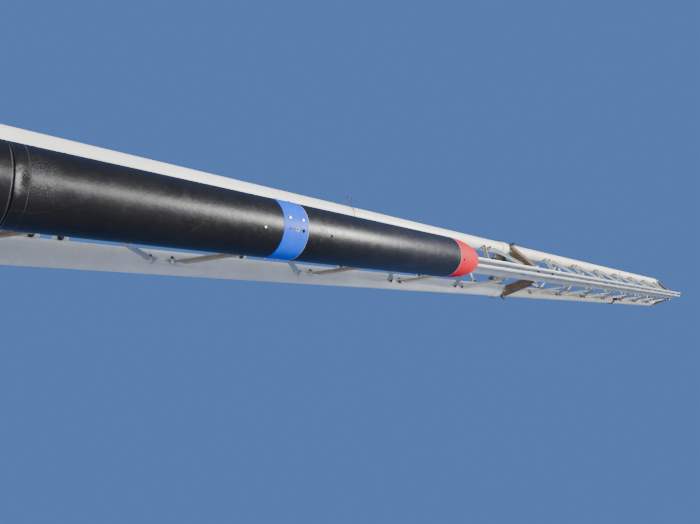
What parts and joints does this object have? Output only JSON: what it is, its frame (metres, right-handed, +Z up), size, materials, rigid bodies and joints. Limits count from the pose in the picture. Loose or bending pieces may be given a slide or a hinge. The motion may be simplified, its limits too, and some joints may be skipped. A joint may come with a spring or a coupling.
{
  "type": "sounding rocket on launch mast",
  "caption": "Slim black sounding rocket with a blue band and red nose, hung on the slotted rail of a tall laced mast that hinges on a low steel base.",
  "frame": {"origin": "on the floor under the middle of the base frame", "axes": "+Z up, -Y towards the side where the rocket hangs, +X to the right seen from that side"},
  "size_m": [1.44, 1.24, 7.16],
  "materials": {
    "body_black": "satin black paint, lightly scuffed",
    "band_blue": "satin bright blue",
    "nose_red": "satin coral red",
    "bare_metal": "brushed",
    "rail_aluminium": "mill finish extrusion",
    "tube_white": "satin off-white paint",
    "lacing_steel": "weathered grey paint",
    "brown_primer": "brown primer with rust",
    "base_steel": "dark grey paint"
  },
  "bodies": {
    "base": {"cross_beam_front": "base_steel", "cross_beam_rear": "base_steel", "hinge_beam": "base_steel", "stop_beam": "base_steel", "stop_block": "base_steel", "blast_plate": "bare_metal", "hinge_clevis_left": "base_steel", "hinge_pin_left": "bare_metal", "side_beam_left": "base_steel", "mast_rest_left": "base_steel", "levelling_foot_front_left": "bare_metal", "levelling_foot_rear_left": "bare_metal", "hinge_clevis_right": "base_steel", "hinge_pin_right": "bare_metal", "side_beam_right": "base_steel", "mast_rest_right": "base_steel", "levelling_foot_front_right": "bare_metal", "levelling_foot_rear_right": "bare_metal"},
    "mast": {"nozzle": "bare_metal", "tail_section": "body_black", "fin_front_right": "body_black", "fin_rear_right": "body_black", "fin_rear_left": "body_black", "fin_front_left": "body_black", "joint_ring": "bare_metal", "lower_tube": "body_black", "colour_band": "band_blue", "upper_tube": "body_black", "rail_button_lower": "bare_metal", "rail_button_upper": "bare_metal", "rail_lower": "rail_aluminium", "rail_upper": "rail_aluminium", "middle_plate": "brown_primer", "top_plate": "brown_primer", "tube_clamp": "base_steel", "rail_stop": "bare_metal", "foot_plate": "brown_primer", "mast_tube_front_lower": "tube_white", "mast_tube_front_upper": "tube_white", "mast_tube_left_lower": "tube_white", "mast_tube_left_upper": "tube_white", "tube_sleeve_left": "tube_white", "middle_brace_left": "brown_primer", "top_brace_left": "brown_primer", "foot_ear_left": "brown_primer", "mast_tube_right_lower": "tube_white", "mast_tube_right_upper": "tube_white", "tube_sleeve_right": "tube_white", "middle_brace_right": "brown_primer", "top_brace_right": "brown_primer", "foot_ear_right": "brown_primer", "lacing_left_lower": "lacing_steel", "lacing_left_upper": "lacing_steel", "lacing_right_lower": "lacing_steel", "lacing_right_upper": "lacing_steel", "lacing_rear_lower": "lacing_steel", "lacing_rear_upper": "lacing_steel"},
    "nose": {"nose_cone": "nose_red"}
  },
  "joints": [
    {"name": "mast_tilt", "type": "hinge", "parent": "base", "child": "mast", "pos_m": [0, 0.315, 0.16], "axis": [-1, 0, 0], "range_deg": [0, 90]},
    {"name": "nose_pull", "type": "slide", "parent": "mast", "child": "nose", "axis": [0, 0, 1], "range_m": [0, 0.15]}
  ]
}
